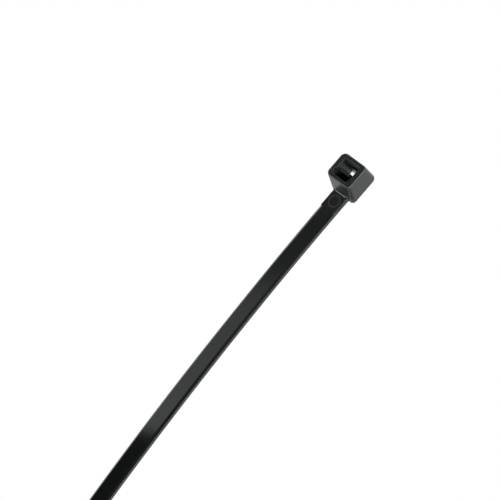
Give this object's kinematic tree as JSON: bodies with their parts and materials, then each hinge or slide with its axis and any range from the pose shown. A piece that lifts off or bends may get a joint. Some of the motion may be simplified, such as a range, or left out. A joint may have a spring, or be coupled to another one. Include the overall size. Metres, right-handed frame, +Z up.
{
  "type": "cable tie",
  "caption": "Self-locking cable tie: a flat toothed strap with a narrow ribbed tail and a square head whose hinged pawl grips the strap.",
  "frame": {"origin": "centre of the bounding box's bottom face, on the plane the tie lies on", "axes": "+X along the head and towards it from the tail, +Z up out of the strap's smooth outer face, -Y the side towards which the strap bends"},
  "size_m": [0.2002, 0.024, 0.0061],
  "materials": {
    "nylon": "black moulded nylon with a soft gloss"
  },
  "bodies": {
    "root": {"cable_tie": "nylon"}
  },
  "joints": []
}
